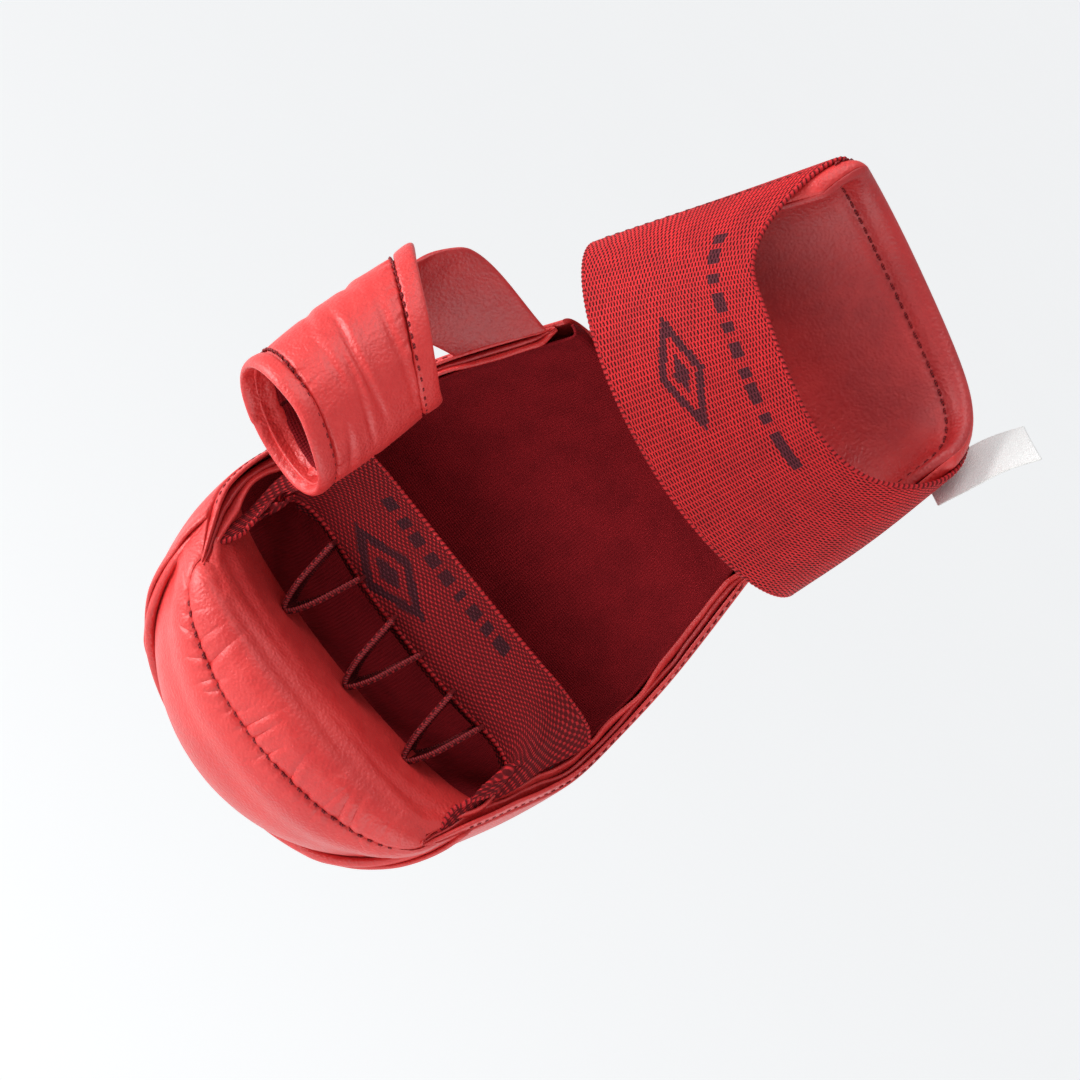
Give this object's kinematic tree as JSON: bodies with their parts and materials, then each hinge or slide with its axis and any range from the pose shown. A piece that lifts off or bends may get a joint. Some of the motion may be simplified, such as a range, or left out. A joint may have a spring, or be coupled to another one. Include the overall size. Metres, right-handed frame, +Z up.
{
  "type": "karate mitt",
  "caption": "Right-hand karate sparring mitt: a thick padded knuckle cover with a palm elastic, a hinged soft thumb guard and an elastic wrist cuff.",
  "frame": {"origin": "middle of the wrist opening, where the hand goes in", "axes": "+Z up the forearm, the way the hand leaves; the palm faces -Y, the back of the hand +Y, the thumb is on the -X side"},
  "size_m": [0.1195, 0.1016, 0.1913],
  "materials": {
    "leather": "smooth red synthetic leather with a soft sheen",
    "elastic": "ribbed red woven elastic",
    "lining": "deep red brushed knit lining",
    "foam": "closed cell foam",
    "thread": "dark red twisted thread",
    "label": "white satin"
  },
  "bodies": {
    "mitt": {"hand_lining": "lining", "foam_core": "foam", "back_cover": "leather", "knuckle_cover": "leather", "cover_seam_edge": "leather", "front_panel": "leather", "thumb_side_hem": "leather", "little_side_hem": "leather", "front_seam_thread": "thread", "finger_elastic": "elastic", "finger_loop_elastic": "elastic", "finger_divider_1": "elastic", "finger_divider_2": "elastic", "finger_divider_3": "elastic"},
    "wrist_cuff": {"wrist_elastic": "elastic", "tongue_cover": "leather", "tongue_foam": "foam", "tongue_lining": "leather", "wrist_thread": "thread"},
    "label": {"label": "label"},
    "thumb_guard": {"thumb_cover": "leather", "thumb_foam": "foam", "thumb_lining": "lining", "thumb_base_hem": "leather", "thumb_tip_hem": "leather", "thumb_base_thread": "thread", "thumb_tip_thread": "thread", "thumb_strap": "leather"}
  },
  "joints": [
    {"name": "wrist_fold", "type": "hinge", "parent": "mitt", "child": "wrist_cuff", "pos_m": [0, 0.018, -0.0235], "axis": [1, 0, 0], "range_deg": [-15, 15], "stiffness_Nm_per_rad": 0.4},
    {"name": "thumb_swing", "type": "hinge", "parent": "mitt", "child": "thumb_guard", "pos_m": [-0.0418, 0.001, -0.037], "axis": [0.3401, 0, 0.9404], "range_deg": [-20, 20], "stiffness_Nm_per_rad": 0.05},
    {"name": "label_flap", "type": "hinge", "parent": "wrist_cuff", "child": "label", "pos_m": [0.0416, 0.0076, 0.015], "axis": [-0.53, 0.848, 0], "range_deg": [-5, 60], "stiffness_Nm_per_rad": 0.003}
  ]
}
